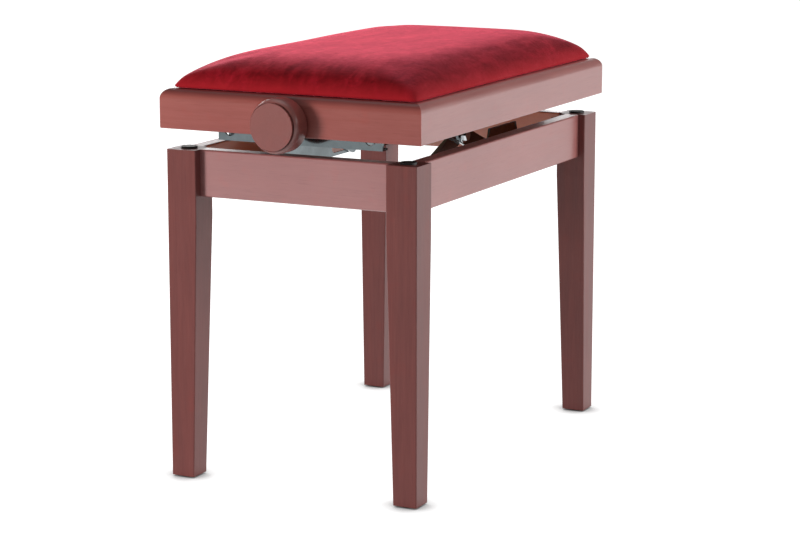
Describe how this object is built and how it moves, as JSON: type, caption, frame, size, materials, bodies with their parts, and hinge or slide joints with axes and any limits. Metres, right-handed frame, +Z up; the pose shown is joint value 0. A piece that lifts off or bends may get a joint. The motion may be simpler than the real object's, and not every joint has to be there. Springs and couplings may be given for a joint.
{
  "type": "adjustable piano bench",
  "caption": "Piano bench with a padded velvet seat on tapered wooden legs, raised and lowered by a knob-driven steel scissor lift.",
  "frame": {"origin": "on the floor under the middle of the bench's bounding box", "axes": "+X along the bench's length, -Y towards the front, +Z up"},
  "size_m": [0.619, 0.35, 0.524],
  "materials": {
    "lacquered_mahogany": "satin lacquered mahogany with fine straight grain",
    "turned_mahogany": "satin lacquered turned mahogany",
    "plywood": "raw board",
    "red_velvet": "deep red velvet with a short nap",
    "black_rubber": "matt",
    "black_plastic": "matt",
    "brass": "turned",
    "zinc_plated_steel": "zinc plated, slightly blue",
    "bright_steel": "bright turned steel"
  },
  "bodies": {
    "base": {"leg_front_left": "lacquered_mahogany", "leg_front_right": "lacquered_mahogany", "leg_rear_right": "lacquered_mahogany", "leg_rear_left": "lacquered_mahogany", "apron_front": "lacquered_mahogany", "apron_right": "lacquered_mahogany", "apron_rear": "lacquered_mahogany", "apron_left": "lacquered_mahogany", "leg_bumpers": "black_rubber", "leg_glides": "black_plastic", "corner_brackets": "zinc_plated_steel", "hanger_bolts": "bright_steel", "lower_rail_front": "zinc_plated_steel", "lower_rail_rear": "zinc_plated_steel", "rail_brackets": "zinc_plated_steel", "rail_screws": "bright_steel", "lower_pivot_pins": "bright_steel"},
    "seat": {"seat_rail_front": "lacquered_mahogany", "seat_rail_right": "lacquered_mahogany", "seat_rail_rear": "lacquered_mahogany", "seat_rail_left": "lacquered_mahogany", "seat_board": "plywood", "seat_corner_blocks": "plywood", "seat_cushion": "red_velvet", "upper_rail_front": "zinc_plated_steel", "upper_rail_rear": "zinc_plated_steel", "end_plate_left": "zinc_plated_steel", "end_plate_right": "zinc_plated_steel", "board_screws": "bright_steel", "upper_pivot_pins": "bright_steel", "spindle_bush_left": "brass", "spindle_bush_right": "brass"},
    "rising_arms": {"rising_arm_front": "zinc_plated_steel", "rising_arm_rear": "zinc_plated_steel", "rising_arm_tie": "zinc_plated_steel", "centre_bolts": "bright_steel"},
    "falling_arms": {"falling_arm_front": "zinc_plated_steel", "falling_arm_rear": "zinc_plated_steel", "slide_pins": "bright_steel"},
    "nut": {"drive_nut": "zinc_plated_steel", "drive_bar_front": "zinc_plated_steel", "drive_bar_rear": "zinc_plated_steel"},
    "spindle": {"threaded_spindle": "bright_steel", "spindle_collars": "bright_steel", "knob_left": "turned_mahogany", "knob_right": "turned_mahogany"}
  },
  "joints": [
    {"name": "seat_lift", "type": "slide", "parent": "base", "child": "seat", "axis": [0, 0, 1], "range_m": [-0.022, 0.0725]},
    {"name": "rising_arm_swing", "type": "hinge", "parent": "base", "child": "rising_arms", "pos_m": [-0.11854, 0.004, 0.37], "axis": [0, -1, 0], "range_deg": [-6.4, 20.4]},
    {"name": "falling_arm_swing", "type": "hinge", "parent": "seat", "child": "falling_arms", "pos_m": [-0.11854, 0.004, 0.449], "axis": [0, 1, 0], "range_deg": [-6.4, 20.4]},
    {"name": "nut_travel", "type": "slide", "parent": "seat", "child": "nut", "axis": [-1, 0, 0], "range_m": [-0.012, 0.0385]},
    {"name": "spindle_turn", "type": "hinge", "parent": "seat", "child": "spindle", "pos_m": [0, 0.004, 0.449], "axis": [1, 0, 0], "range_deg": [-1075, 3462]}
  ],
  "couplings": [
    {"joint": "rising_arm_swing", "follows": "seat_lift", "rad_per_m": 4.9044},
    {"joint": "falling_arm_swing", "follows": "seat_lift", "rad_per_m": 4.9044},
    {"joint": "nut_travel", "follows": "seat_lift", "ratio": 0.53},
    {"joint": "spindle_turn", "follows": "seat_lift", "rad_per_m": 832.52}
  ]
}
